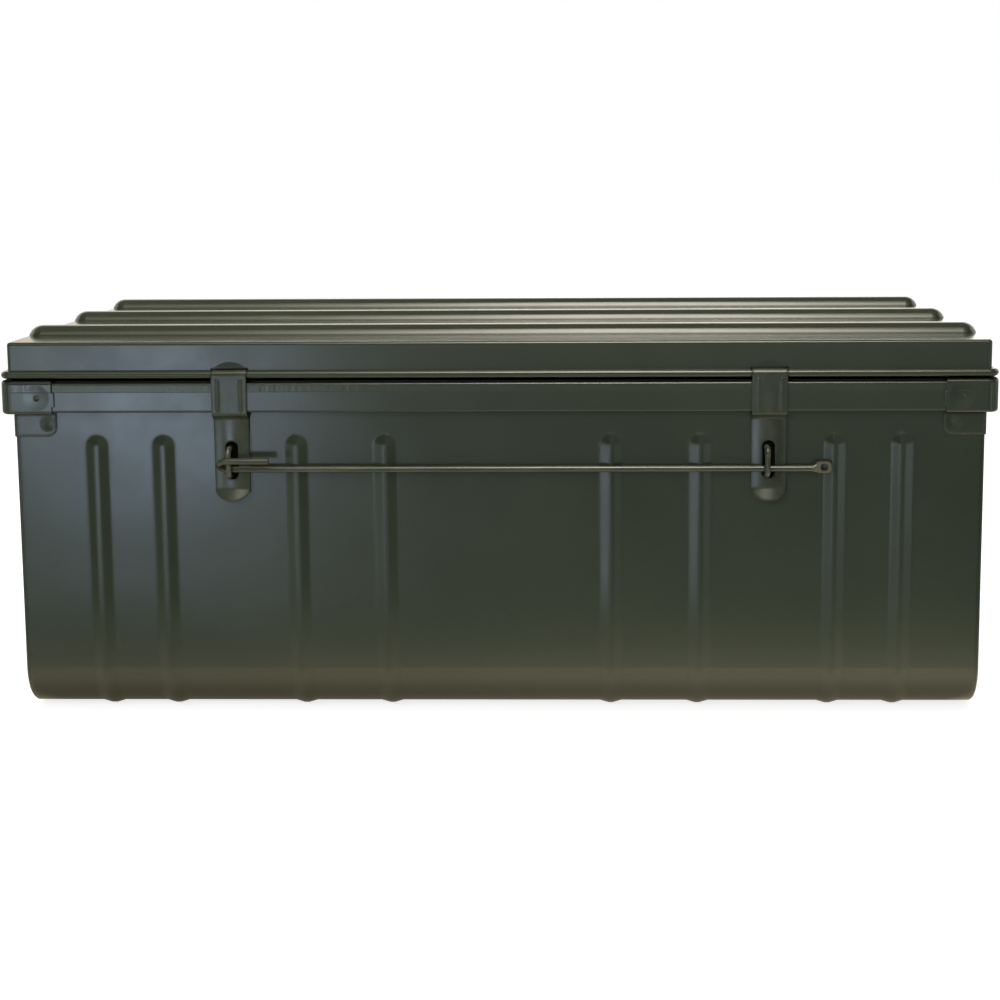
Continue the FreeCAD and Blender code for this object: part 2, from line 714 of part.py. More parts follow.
def locking_rod():
    """Round rod with a hairpin bend at its left end and a flattened padlock eye at its right end."""
    rise = vec(0, rod_y - return_y, return_z - rod_z)
    bend = rise.Length / 2
    eye_start = eye_place - eye_back
    main_end = vec(eye_start - eye_neck, -rod_y, rod_z)
    turn = vec(rod_bend_place - bend, -rod_y, rod_z)
    tail = vec(rod_return_end, -return_y, return_z)
    rod = bent_rod([main_end, turn, turn + rise, tail], [0, bend, bend, 0], rod_radius)
    ring = Part.Wire(Part.makeCircle(rod_radius, main_end, across))
    eye_z = rod_z + eye_rise
    centre = vec(eye_start + eye_corner, -rod_y, eye_z)
    flat = Part.Ellipse(centre + upward * eye_half_height, centre + inward * (eye_thickness / 2), centre)
    neck = Part.makeLoft([ring, Part.Wire(flat.toShape())], True)
    left, right = eye_start, eye_place + eye_front
    low, high = eye_z - eye_half_height, eye_z + eye_half_height
    face = -rod_y - eye_thickness / 2
    points = [vec(left, face, low), vec(right, face, low), vec(right, face, high), vec(left, face, high)]
    eye = outline_face(points, [eye_corner] * len(points)).extrude(inward * eye_thickness)
    through = eye_thickness + 2 * overrun
    hole = Part.makeCylinder(eye_hole, through, vec(eye_place, face - overrun, eye_z), inward)
    return rod.fuse([neck, eye]).cut(hole)


# End handles: a drop bail in two clips


def handle_bail(side):
    out = bail_leg_place + bail_stub
    low = bail_height - bail_drop
    plan = [(out, bail_height), (bail_leg_place, bail_height), (bail_leg_place, low),
            (-bail_leg_place, low), (-bail_leg_place, bail_height), (-out, bail_height)]
    points = [vec(bail_x, y, z) for y, z in plan]
    bends = [0] + [bail_bend] * (len(points) - 2) + [0]
    return to_corner(bent_rod(points, bends, bail_radius), side, 1)


def handle_clip(side, end):
    """Strap over one stub of the bail, lying flat on the end panel above and below it."""
    y = (bail_leg_place + bail_stub - clip_width, bail_leg_place + bail_stub)
    arch = clip_bore + clip_sheet
    flange = arch + clip_flange
    foot = vec(bail_x, y[0], bail_height)
    body = Part.makeCylinder(arch, clip_width, foot, inward)
    body = body.fuse(block((wall_x, bail_x), y, (bail_height - arch, bail_height + arch)))
    body = body.common(block((wall_x, bail_x + arch), y, (bail_height - arch, bail_height + arch)))
    body = body.fuse(block((wall_x, wall_x + clip_sheet), y, (bail_height - flange, bail_height + flange)))
    bore = Part.makeCylinder(clip_bore, clip_width, foot, inward)
    throat = block((wall_x, bail_x), y, (bail_height - clip_bore, bail_height + clip_bore))
    return to_corner(body.cut([bore, throat]), side, end)


def build():
    """Every piece of the trunk under its own name."""
    pieces = {"body_wrap": body_wrap(), "lid_panel": lid_panel(), "lid_wire": wire_loop(wire_radius),
              "locking_rod": locking_rod(), **rim_rails()}
    cap = corner_cap()
    gusset = corner_gusset()
    for side, side_name in ((-1, "left"), (1, "right")):
        pieces[f"end_panel_{side_name}"] = end_panel(side)
        pieces[f"hasp_{side_name}"] = hasp(side)
        pieces[f"hinge_strap_{side_name}"] = hinge_strap(side)
        pieces[f"staple_plate_{side_name}"] = staple_plate(side)
        pieces[f"staple_{side_name}"] = staple(side)
        pieces[f"handle_bail_{side_name}"] = handle_bail(side)
        for end, end_name in ((-1, "front"), (1, "rear")):
            pieces[f"corner_cap_{end_name}_{side_name}"] = to_corner(cap, side, end)
            pieces[f"corner_gusset_{end_name}_{side_name}"] = to_corner(gusset, side, end)
            pieces[f"handle_clip_{end_name}_{side_name}"] = handle_clip(side, end)
    return pieces


os.makedirs("parts", exist_ok=True)
for name, shape in build().items():
    solids = shape.Solids
    print(name, "solids", len(solids), "valid", shape.isValid(), "volume", round(shape.Volume))
    placed = (solids[0] if len(solids) == 1 else shape).translated(inward * footprint_shift)
    placed.exportStep(f"parts/{name}.step")
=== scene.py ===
# %% [markdown]
# # A lift-lid steel trunk
# The trunk is a body of bent sheet with pressed ribs, a rolled rim, a ribbed lid with a wired edge, two
# strap hasps and a long locking rod. All of that could be modelled here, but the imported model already
# holds every piece at its real size. So this lesson loads it as a fixed frame and adds only what a drawing
# office leaves out: paint, wear, small fixings and studio light.

# %% Load the frame
import json
import math

import bpy
from mathutils import Matrix, Vector


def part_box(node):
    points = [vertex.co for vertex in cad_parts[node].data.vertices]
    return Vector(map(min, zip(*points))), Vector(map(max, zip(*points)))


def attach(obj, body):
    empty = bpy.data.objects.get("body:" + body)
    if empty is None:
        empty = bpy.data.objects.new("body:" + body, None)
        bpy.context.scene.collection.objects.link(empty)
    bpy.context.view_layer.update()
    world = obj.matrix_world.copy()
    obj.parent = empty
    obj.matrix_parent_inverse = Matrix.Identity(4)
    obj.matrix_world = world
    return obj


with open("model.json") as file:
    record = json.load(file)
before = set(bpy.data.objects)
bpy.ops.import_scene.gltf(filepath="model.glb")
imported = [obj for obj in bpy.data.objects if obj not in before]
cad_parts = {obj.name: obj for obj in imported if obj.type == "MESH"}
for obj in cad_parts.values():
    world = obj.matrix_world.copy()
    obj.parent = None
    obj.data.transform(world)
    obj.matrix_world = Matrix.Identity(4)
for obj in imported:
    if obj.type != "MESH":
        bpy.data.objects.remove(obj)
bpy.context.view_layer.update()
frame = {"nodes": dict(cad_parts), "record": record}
nodes = frame["nodes"]
scene = bpy.context.scene
scene.view_settings.view_transform = "Standard"

# %% [markdown]
# ## Camera
# The picture is a long-lens view from a little above the lid and a little right of the middle. A camera
# could be placed by eye, but then few edges would meet. Its place, turn and focal length were worked out
# from the trunk's own corners and edges instead, so the render lines up without any cropping. The lens
# shift only moves the trunk to where it stands in the square frame.

# %% Camera
camera_place = Vector((0.08961, -2.01031, 0.56774))
yaw, pitch, roll = (math.radians(angle) for angle in (1.21, -7.75, 0.15))
sensor_width = 36.0
focal_share = 1.78977
frame_shift = (-0.0482, -0.1009)
nearest_seen, farthest_seen = 0.05, 200.0

level_turn = Matrix.Rotation(pitch, 3, "X") @ Matrix.Rotation(yaw, 3, "Z")
right, forward, up = (Matrix.Rotation(roll, 3, "Y") @ level_turn).col
camera_data = bpy.data.cameras.new("trunk_camera")
camera_data.sensor_width = sensor_width
camera_data.lens = sensor_width * focal_share
camera_data.shift_x, camera_data.shift_y = frame_shift
camera_data.clip_start, camera_data.clip_end = nearest_seen, farthest_seen
camera = bpy.data.objects.new("trunk_camera", camera_data)
camera_turn = Matrix((right, up, -forward)).transposed()
camera.matrix_world = Matrix.Translation(camera_place) @ camera_turn.to_4x4()
scene.collection.objects.link(camera)
scene.camera = camera
print("camera", round(camera_data.lens, 1), "mm lens")

# %% [markdown]
# ## Small helpers for node trees
# Materials, groups and the world could be wired by hand in the node editor. Wired in code, they can be
# read, changed and rebuilt in one go. A few helpers keep that short: one adds a node and sets its plain
# inputs or links, one does arithmetic, one eases a value from one range into another, and the rest work
# on colours.

# %% Values in a node tree


def opaque(colour):
    """Colour with full cover, as Blender's colour sockets take it."""
    return (*colour, 1.0)


def add_node(tree, kind, inputs=None, **settings):
    """New node with its settings, and its inputs as plain values or as links from other sockets."""
    node = tree.nodes.new(kind)
    for name, value in settings.items():
        setattr(node, name, value)
    for key, value in (inputs or {}).items():
        if isinstance(value, bpy.types.NodeSocket):
            tree.links.new(value, node.inputs[key])
        else:
            node.inputs[key].default_value = value
    return node


def math_node(tree, operation, first, second=0.0):
    """One step of arithmetic."""
    return add_node(tree, "ShaderNodeMath", {0: first, 1: second}, operation=operation).outputs[0]


def product(tree, *factors):
    """All factors multiplied together."""
    total = factors[0]
    for factor in factors[1:]:
        total = math_node(tree, "MULTIPLY", total, factor)
    return total


def smooth_range(tree, value, low, high, to_low=0.0, to_high=1.0, ease="SMOOTHSTEP"):
    """Value eased from one range into another."""
    inputs = {"Value": value, "From Min": low, "From Max": high, "To Min": to_low, "To Max": to_high}
    return add_node(tree, "ShaderNodeMapRange", inputs, interpolation_type=ease).outputs[0]


def between(tree, value, low, high, edge):
    """One between two values, easing to zero within the edge."""
    return product(tree, smooth_range(tree, value, low, low + edge),
                   smooth_range(tree, value, high - edge, high, 1.0, 0.0))


print("helpers for values")

# %% Colours and vectors in a node tree


def vector_node(tree, operation, first, second):
    """One step of arithmetic on vectors or colours."""
    return add_node(tree, "ShaderNodeVectorMath", {0: first, 1: second}, operation=operation).outputs[0]


def scaled(tree, colour, factor):
    """Colour made brighter or darker."""
    return add_node(tree, "ShaderNodeVectorMath", {0: colour, "Scale": factor}, operation="SCALE").outputs[0]


def lit(tree, colour, mask, below):
    """Adds a colour where the mask is bright."""
    return vector_node(tree, "ADD", below, scaled(tree, colour, mask))


def colour_ramp(tree, place, steps):
    """Colour that runs through the steps, the first of which lies at zero and the last at one or less."""
    ramp = add_node(tree, "ShaderNodeValToRGB", {"Fac": place})
    stops = ramp.color_ramp.elements
    stops.remove(stops[-1])
    for index, (where, colour) in enumerate(steps):
        stop = stops.new(where) if index else stops[0]
        stop.color = opaque(colour)
    return ramp.outputs["Color"]


def noise(tree, place, scale, detail, roughness=0.5):
    """Cloudy value around one half."""
    inputs = {"Vector": place, "Scale": scale, "Detail": detail, "Roughness": roughness}
    return add_node(tree, "ShaderNodeTexNoise", inputs).outputs["Fac"]


print("helpers for colours")

# %% [markdown]
# ## Room and background
# Satin paint shows the room it stands in, and most of what the eye reads as this trunk's colour is that
# room: a dim olive haze below the horizon, cool daylight low at the front left, two weaker windows to the
# sides, a bright lamp high in front and a pale wall behind. Cards and lamps placed around the trunk could
# give it too, but they would get into other views. The world holds it by direction instead: one ramp by
# height for the haze, and soft patches for the rest. The camera itself sees plain white.

# %% Directions of the room
world = bpy.data.worlds.new("room")
scene.world = world
world.use_nodes = True
room = world.node_tree
room.nodes.clear()

direction = add_node(room, "ShaderNodeTexCoord").outputs["Generated"]
axes = add_node(room, "ShaderNodeSeparateXYZ", {0: direction}).outputs
from_front = math_node(room, "ARCTAN2", axes["X"], math_node(room, "MULTIPLY", axes["Y"], -1.0))
from_back = math_node(room, "ARCTAN2", axes["X"], axes["Y"])
height = math_node(room, "ARCSINE", axes["Z"])


def soft_gate(angle, centre_deg, half_deg, edge_deg):
    """One near an angle, zero away from it."""
    offset = math_node(room, "ABSOLUTE", math_node(room, "SUBTRACT", angle, math.radians(centre_deg)))
    inner, outer = math.radians(half_deg - edge_deg), math.radians(half_deg + edge_deg)
    return smooth_range(room, offset, inner, outer, 1.0, 0.0)


def window(bearing, across, upward):
    """Soft patch of the room: centre, half width and edge across, then the same upward, in degrees."""
    return product(room, soft_gate(bearing, *across), soft_gate(height, *upward))


print("bearings from the front and the back, and heights")

# %% Haze below the horizon
haze_low = -20.0
haze_steps = (
    (-20.0, (0.72, 0.76, 0.50)), (-16.0, (0.64, 0.71, 0.46)), (-14.7, (0.46, 0.56, 0.39)),
    (-12.7, (0.34, 0.40, 0.32)), (-10.7, (0.23, 0.29, 0.26)), (-8.9, (0.12, 0.17, 0.16)),
    (-7.6, (0.36, 0.45, 0.38)), (-6.4, (0.66, 0.76, 0.60)), (-4.0, (0.80, 0.88, 0.72)),
    (-1.5, (0.30, 0.33, 0.28)), (0.0, (0.03, 0.033, 0.03)))
dim_places = {"right": (21.0, 6.5, 3.0), "left": (-49.0, 6.0, 4.0)}
dim_share = 0.75

haze_place = smooth_range(room, height, math.radians(haze_low), 0.0, ease="LINEAR")
haze = colour_ramp(room, haze_place, [(1.0 - step / haze_low, colour) for step, colour in haze_steps])
dimmed = [product(room, soft_gate(from_front, *place), dim_share) for place in dim_places.values()]
left_over = math_node(room, "SUBTRACT", 1.0, math_node(room, "MAXIMUM", *dimmed))
room_colour = scaled(room, haze, left_over)
print(len(haze_steps), "steps of haze,", len(dim_places), "dim places")

# %% Windows, lamp and wall
room_patches = {
    "daylight": ((5.2, 6.4, 8.8), from_front, (-13.6, 2.8, 2.8), (-8.0, 1.9, 2.2)),
    "daylight_tail": ((0.30, 0.40, 0.55), from_front, (-14.5, 5.0, 4.0), (-11.5, 3.5, 2.5)),
    "daylight_high": ((2.7, 3.3, 4.0), from_front, (-16.5, 4.5, 4.0), (-6.0, 1.4, 1.8)),
    "left_window": ((1.9, 2.3, 2.7), from_front, (-30.0, 3.0, 3.0), (-10.0, 4.0, 4.0)),
    "left_window_end": ((0.32, 0.42, 0.48), from_front, (-35.0, 6.5, 4.0), (-12.0, 5.0, 3.0)),
    "right_window": ((1.1, 1.4, 1.55), from_front, (41.5, 4.0, 3.0), (-8.0, 3.0, 3.0)),
    "right_window_end": ((0.20, 0.24, 0.22), from_front, (34.0, 4.5, 3.0), (-11.0, 4.0, 3.0)),
    "front_haze": ((0.27, 0.32, 0.24), from_front, (22.0, 26.0, 6.0), (15.0, 15.0, 5.0)),
    "lamp": ((13.5, 12.8, 11.0), from_front, (3.0, 11.0, 8.0), (58.0, 19.0, 7.0)),
    "lamp_edge": ((2.0, 1.9, 1.45), from_front, (8.0, 38.0, 16.0), (58.0, 19.0, 7.0)),
    "wall_high": ((1.55, 1.48, 1.33), from_back, (0.0, 90.0, 10.0), (23.0, 15.0, 6.0)),
    "wall_low": ((0.62, 0.52, 0.35), from_back, (0.0, 90.0, 10.0), (3.0, 5.5, 3.0)),
    "wall_glow": ((2.4, 2.3, 2.05), from_back, (3.0, 13.0, 11.0), (3.0, 5.5, 3.0)),
}
for colour, bearing, across, upward in room_patches.values():
    room_colour = lit(room, colour, window(bearing, across, upward), room_colour)
print("room of", len(room_patches), "patches")

# %% What each kind of ray sees
plain_white = opaque((1.0, 1.0, 1.0))
fill_colour = opaque((1.0, 0.99, 0.97))
fill_strength = 0.55

rays = add_node(room, "ShaderNodeLightPath").outputs
fill = add_node(room, "ShaderNodeBackground", {"Color": fill_colour, "Strength": fill_strength})
shown = add_node(room, "ShaderNodeBackground", {"Color": room_colour, "Strength": 1.0})
white = add_node(room, "ShaderNodeBackground", {"Color": plain_white, "Strength": 1.0})
seen_white = math_node(room, "MAXIMUM", rays["Is Camera Ray"], rays["Is Transmission Ray"])
mirrored = add_node(room, "ShaderNodeMixShader", {
    0: rays["Is Glossy Ray"], 1: fill.outputs[0], 2: shown.outputs[0]})
seen = add_node(room, "ShaderNodeMixShader", {
    0: seen_white, 1: mirrored.outputs[0], 2: white.outputs[0]})
add_node(room, "ShaderNodeOutputWorld", {"Surface": seen.outputs[0]})
print("world of", len(room.nodes), "nodes")

# %% [markdown]
# ## Floor
# The trunk stands on a plain pale floor. A white backdrop alone would leave it floating, so this floor
# carries the contact shadow and glows a little to the camera, which lets it run into the white background
# without a horizon. In the paint it shows warm and bright close to the trunk and dark under it. Further
# out it lets mirror rays through to the room, which already holds the dim ground by direction.

# %% Floor
floor_reach = 30.0
floor_turns = ((-1, -1), (1, -1), (1, 1), (-1, 1))
floor_mesh = bpy.data.meshes.new("studio_floor")
floor_mesh.from_pydata([(x * floor_reach, y * floor_reach, 0) for x, y in floor_turns], [], [(0, 1, 2, 3)])
floor = bpy.data.objects.new("studio_floor", floor_mesh)
scene.collection.objects.link(floor)
print("floor of", 2 * floor_reach, "m")

# %% Distance from the trunk
trunk_half = {"X": 0.49, "Y": 0.24}

floor_paint = bpy.data.materials.new("studio_floor")
floor_paint.use_nodes = True
ground = floor_paint.node_tree
ground.nodes.clear()
floor_place = add_node(ground, "ShaderNodeTexCoord").outputs["Object"]
floor_axes = add_node(ground, "ShaderNodeSeparateXYZ", {0: floor_place}).outputs
from_middle = {axis: math_node(ground, "ABSOLUTE", floor_axes[axis]) for axis in trunk_half}
beyond = {axis: math_node(ground, "MAXIMUM", math_node(ground, "SUBTRACT", from_middle[axis], half), 0.0)
          for axis, half in trunk_half.items()}
beyond_both = add_node(ground, "ShaderNodeCombineXYZ", beyond).outputs[0]
away = add_node(ground, "ShaderNodeVectorMath", {0: beyond_both}, operation="LENGTH").outputs["Value"]
print("distance from a footprint of", [2 * half for half in trunk_half.values()], "m")

# %% Floor shine by distance
shine_reach, shine_peak = 0.6, 2.0
shine_steps = (
    (0.0, (1.25, 1.10, 0.72)), (0.04, (1.62, 1.45, 0.96)), (0.10, (1.42, 1.28, 0.86)),
    (0.18, (1.03, 1.02, 0.72)), (0.24, (0.68, 0.73, 0.47)), (0.40, (0.46, 0.56, 0.39)),
    (0.55, (0.40, 0.47, 0.37)))
covered_share = 0.25
cover_edges = {"Y": (0.19, 0.26), "X": (0.45, 0.52)}
left_place, right_place, left_share, right_share = -0.5, 0.3, 0.78, 1.18
front_place, back_place, back_share = -0.25, -0.10, 0.5

shine_ramp = colour_ramp(ground, math_node(ground, "DIVIDE", away, shine_reach), [
    (distance / shine_reach, [value / shine_peak for value in colour]) for distance, colour in shine_steps])
uncovered = math_node(ground, "MAXIMUM", *(
    smooth_range(ground, from_middle[axis], *edges, covered_share, 1.0) for axis, edges in cover_edges.items()))
toward_right = smooth_range(ground, floor_axes["X"], left_place, right_place,
                            left_share * shine_peak, right_share * shine_peak)
toward_back = smooth_range(ground, floor_axes["Y"], front_place, back_place, 1.0, back_share)
floor_shine = scaled(ground, shine_ramp, product(ground, uncovered, toward_right, toward_back))
print(len(shine_steps), "steps of floor shine")

# %% Floor finish
floor_colour = opaque((0.46, 0.455, 0.44))
floor_glow = 0.80
clear_from, clear_to = 0.32, 0.55

floor_rays = add_node(ground, "ShaderNodeLightPath").outputs
matt = add_node(ground, "ShaderNodeBsdfDiffuse", {"Color": floor_colour})
glow_strength = math_node(ground, "MULTIPLY", floor_rays["Is Camera Ray"], floor_glow)
glow = add_node(ground, "ShaderNodeEmission", {"Color": plain_white, "Strength": glow_strength})
paper = add_node(ground, "ShaderNodeAddShader", {0: matt.outputs[0], 1: glow.outputs[0]})
shine = add_node(ground, "ShaderNodeEmission", {"Color": floor_shine, "Strength": 1.0})
clear = add_node(ground, "ShaderNodeBsdfTransparent")
mirrored_floor = add_node(ground, "ShaderNodeMixShader", {
    0: smooth_range(ground, away, clear_from, clear_to), 1: shine.outputs[0], 2: clear.outputs[0]})
either = add_node(ground, "ShaderNodeMixShader", {
    0: floor_rays["Is Glossy Ray"], 1: paper.outputs[0], 2: mirrored_floor.outputs[0]})
add_node(ground, "ShaderNodeOutputMaterial", {"Surface": either.outputs[0]})
floor_mesh.materials.append(floor_paint)
print("floor finish of", len(ground.nodes), "nodes")

# %% [markdown]
# ## Lamps
# Plain daylight falls on the trunk from above and from the front left. A sun lamp would throw hard shadows
# that the picture doesn't have, so two large soft lamps give the paint its level. They stay out of mirror
# rays, because the room above already holds what the paint mirrors.

# %% Lamps
lamps = {
    "lamp_overhead": ((0.0, 0.1, 2.4), (0.0, 0.0, 0.0), (3.0, 1.6), 60.0, (1.0, 0.97, 0.90)),
    "lamp_front_left": ((-1.6, -2.6, 1.6), (0.0, 0.0, 0.2), (1.6, 1.2), 40.0, (0.93, 0.97, 1.0)),
}


def soft_lamp(name, place, target, size, power, colour):
    """Rectangular lamp that faces its target."""
    data = bpy.data.lights.new(name, "AREA")
    data.shape = "RECTANGLE"
    data.size, data.size_y = size
    data.energy = power
    data.color = colour
    lamp = bpy.data.objects.new(name, data)
    aim = (Vector(target) - Vector(place)).to_track_quat("-Z", "Y")
    lamp.matrix_world = Matrix.Translation(place) @ aim.to_matrix().to_4x4()
    lamp.visible_glossy = False
    scene.collection.objects.link(lamp)


for lamp_name, lamp_settings in lamps.items():
    soft_lamp(lamp_name, *lamp_settings)
print(len(lamps), "lamps")

# %% [markdown]
# ## Satin olive paint
# The real finish is sprayed satin enamel: a dark olive that varies a little from batch to batch and panel
# to panel, a fine orange peel that blurs reflections, and slow waves in the thin sheet that make their
# edges wander. One plain colour would look like plastic. The three effects are shared by every painted
# piece, so they live in one shader group with its own inputs.

# %% Paint group
paint = bpy.data.node_groups.new("satin_enamel", "ShaderNodeTree")
paint_inputs = {"Paint": "NodeSocketColor", "Mottle": "NodeSocketFloat", "Smooth": "NodeSocketFloat",
                "Dull": "NodeSocketFloat", "Peel": "NodeSocketFloat", "Wave": "NodeSocketFloat",
                "Wave Scale": "NodeSocketFloat"}
paint_outputs = {"Color": "NodeSocketColor", "Roughness": "NodeSocketFloat", "Height": "NodeSocketFloat"}
for way, sockets in (("INPUT", paint_inputs), ("OUTPUT", paint_outputs)):
    for name, kind in sockets.items():
        paint.interface.new_socket(name, in_out=way, socket_type=kind)
given = add_node(paint, "NodeGroupInput").outputs
paint_place = add_node(paint, "ShaderNodeTexCoord").outputs["Object"]
print("paint group with", len(paint_inputs), "inputs")

# %% Colour, gloss and relief of the paint
batch_scale, speck_scale, gloss_scale, peel_scale = 7.0, 420.0, 19.0, 650.0
batch_range, batch_swing = (0.3, 0.7), (-1.0, 1.0)
speck_range, speck_swing = (0.25, 0.75), (-0.5, 0.5)
gloss_range, gloss_grain = (0.3, 0.7), 0.6

batch = smooth_range(paint, noise(paint, paint_place, batch_scale, 3.0), *batch_range, *batch_swing)
speck = smooth_range(paint, noise(paint, paint_place, speck_scale, 2.0), *speck_range, *speck_swing)
shade = product(paint, math_node(paint, "ADD", batch, speck), given["Mottle"])
tinted = scaled(paint, given["Paint"], math_node(paint, "ADD", shade, 1.0))
gloss_spread = smooth_range(paint, noise(paint, paint_place, gloss_scale, 4.0, gloss_grain), *gloss_range)
gloss_step = math_node(paint, "SUBTRACT", given["Dull"], given["Smooth"])
rough = math_node(paint, "ADD", given["Smooth"], product(paint, gloss_spread, gloss_step))
peel = product(paint, noise(paint, paint_place, peel_scale, 1.0), given["Peel"])
wave = product(paint, noise(paint, paint_place, given["Wave Scale"], 1.0), given["Wave"])
relief_sum = math_node(paint, "ADD", peel, wave)
add_node(paint, "NodeGroupOutput", {"Color": tinted, "Roughness": rough, "Height": relief_sum})
print("paint group of", len(paint.nodes), "nodes")

# %% [markdown]
# ## Rub marks
# Where the rod slides and the hasps swing, the paint is polished and thinned in short streaks along the
# motion. They could be painted by hand on each piece, but then a changed piece would lose them. Rod, bails,
# staples and straps all show them, at different strengths, so a second shader group puts out a mask.

# %% Rub group
streak_range, streak_grain = (0.42, 0.68), 0.6

rub = bpy.data.node_groups.new("rub_marks", "ShaderNodeTree")
for name, kind in (("Stretch", "NodeSocketVector"), ("Amount", "NodeSocketFloat")):
    rub.interface.new_socket(name, in_out="INPUT", socket_type=kind)
rub.interface.new_socket("Mask", in_out="OUTPUT", socket_type="NodeSocketFloat")
rub_given = add_node(rub, "NodeGroupInput").outputs
rub_spot = add_node(rub, "ShaderNodeTexCoord").outputs["Object"]
rub_place = vector_node(rub, "MULTIPLY", rub_spot, rub_given["Stretch"])
streaks = smooth_range(rub, noise(rub, rub_place, 1.0, 4.0, streak_grain), *streak_range)
add_node(rub, "NodeGroupOutput", {"Mask": product(rub, streaks, rub_given["Amount"])})
print("rub group of", len(rub.nodes), "nodes")

# %% [markdown]
# ## Painted shade and ripples
# The foot of the lip inside the closed lid and the staple plates behind the slots of the hasps carry painted
# shade: dark, matt and partly metallic paint, so that the gap under the lid's edge and the slots read black.
# The upper fold of the rim keeps fine upright ripples from its rollers. Shade could be found from how hidden
# each point is, but the bake would then depend on the pose. Bands and spots at known heights on the trunk stay
# put, so each effect is a mask from the piece's own place.

# %% Painted shade and ripple masks
hasp_place = 0.27
slot_edge_across, slot_edge_upward = 0.006, 0.010
ripple_edge = 0.001
ripple_stretch = (260.0, 260.0, 20.0)
# How matt the painted shade goes.
shade_matt = 0.85


def painted_shade(tree, tint, gloss, mask, kept):
    """Painted shade: paint darkened to a kept share and gone matt where the mask is bright."""
    tint = scaled(tree, tint, smooth_range(tree, mask, 0.0, 1.0, 1.0, kept))
    return tint, math_node(tree, "MAXIMUM", gloss, product(tree, mask, shade_matt))


def behind_slot(tree, along, level, half_width, low, high):
    """Mask of painted shade on the stretch behind a hasp's slot."""
    from_hasp = math_node(tree, "SUBTRACT", math_node(tree, "ABSOLUTE", along), hasp_place)
    beside = smooth_range(tree, math_node(tree, "ABSOLUTE", from_hasp),
                          half_width - slot_edge_across, half_width, 1.0, 0.0)
    return product(tree, beside, between(tree, level, low, high, slot_edge_upward))


def rolled_ripple(tree, spot, level, low, high, ripple_height):
    """Fine upright ripples between two heights."""
    drawn = vector_node(tree, "MULTIPLY", spot, ripple_stretch)
    band = between(tree, level, low, high, ripple_edge)
    return product(tree, noise(tree, drawn, 1.0, 2.0), band, ripple_height)


print("painted shade behind slots at", hasp_place, "m from the middle")

# %% [markdown]
# ## One paint, several uses
# Body, rim, lid and hardware carry the same enamel, but not in the same state. The body's large panels wave
# more than the stiff lid, pressed edges are softly rounded, and the rod's padlock end is worn bright.
# A material for each piece would repeat the same nodes over and over. So one function builds the enamel from
# the groups above and adds only the extras that a finish asks for.

# %% Enamel maker
olive = (0.0275, 0.0330, 0.0215)
worn = (0.115, 0.105, 0.072)
edge_samples = 6


def with_painted_shade(tree, tint, gloss, along, level, crease, slot):
    """Tint, gloss and metalness of the paint with its painted shade at the lip's foot or behind a slot."""
    if crease:
        heights, kept, metal = crease
        mask = between(tree, level, *heights)
    elif slot:
        stretch, kept, metal = slot
        mask = behind_slot(tree, along, level, *stretch)
    else:
        return tint, gloss, 0.0
    return *painted_shade(tree, tint, gloss, mask, kept), product(tree, mask, metal)


def worn_paint(tree, tint, along, rubbed, polished):
    """Tint of the paint with rub marks, and with a polished end where given."""
    marks = add_node(tree, "ShaderNodeGroup", node_tree=rub)
    marks.inputs["Stretch"].default_value, marks.inputs["Amount"].default_value = rubbed
    mask = marks.outputs["Mask"]
    if polished:
        mask = math_node(tree, "MAXIMUM", mask, smooth_range(tree, along, *polished))
    return add_node(tree, "ShaderNodeMix", {0: mask, 6: tint, 7: opaque(worn)}, data_type="RGBA").outputs[2]


def enamel(name, mottle, smooth, dull, peel_height, wave_height, wave_scale, edge=0.0,
           crease=None, slot=None, ripple=None, rubbed=None, polished=None):
    """Olive enamel, with rounded edges, painted shade, a ripple or rub marks where given."""
    material = bpy.data.materials.new(name)
    material.use_nodes = True
    tree = material.node_tree
    tree.nodes.clear()
    skin = add_node(tree, "ShaderNodeGroup", node_tree=paint)
    for key, value in (("Paint", opaque(olive)), ("Mottle", mottle), ("Smooth", smooth), ("Dull", dull),
                       ("Peel", peel_height), ("Wave", wave_height), ("Wave Scale", wave_scale)):
        skin.inputs[key].default_value = value
    tint, gloss, relief = (skin.outputs[key] for key in paint_outputs)
    spot = add_node(tree, "ShaderNodeTexCoord").outputs["Object"]
    along, _, level = add_node(tree, "ShaderNodeSeparateXYZ", {0: spot}).outputs
    # Painted shade at the lip's foot or behind a slot: darker, matt, partly metallic paint.
    tint, gloss, shade_metallic = with_painted_shade(tree, tint, gloss, along, level, crease, slot)
    if ripple:
        relief = math_node(tree, "ADD", relief, rolled_ripple(tree, spot, level, *ripple))
    if rubbed:
        tint = worn_paint(tree, tint, along, rubbed, polished)
    bump = add_node(tree, "ShaderNodeBump", {"Strength": 1.0, "Distance": 1.0, "Height": relief})
    if edge:
        rounded = add_node(tree, "ShaderNodeBevel", {"Radius": edge}, samples=edge_samples)
        tree.links.new(rounded.outputs[0], bump.inputs["Normal"])
    surface = add_node(tree, "ShaderNodeBsdfPrincipled", {
        "Base Color": tint, "Roughness": gloss, "Metallic": shade_metallic, "Normal": bump.outputs[0]})
    add_node(tree, "ShaderNodeOutputMaterial", {"Surface": surface.outputs[0]})
    return material


print("enamel of", paint.name, "and", rub.name)

# %% Painted sheet
# Painted shade at the foot of the lip and on the cap tops under the lid's edge: kept share of colour, then
# metalness.
lip_heights = (0.3448, 0.3525, 0.001)
lip_shade = (lip_heights, 0.03, 1.0)
cap_shade = (lip_heights, 0.12, 0.5)
rim_ripple = (0.3345, 0.3435, 0.00016)
# Painted shade on the staple plates behind the hasps' slots: area, kept share of colour, then metalness.
slot_half_width, below_slot, above_slot = 0.0135, 0.010, 0.003
plate_low, plate_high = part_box("staple_plate_left")
slot_shade = ((slot_half_width, plate_low[2] + below_slot, plate_high[2] - above_slot), 0.10, 0.8)
pressed_sheet = (0.07, 0.15, 0.19, 0.000006)
rim_sheet = (*pressed_sheet, 0.0003, 9.0)

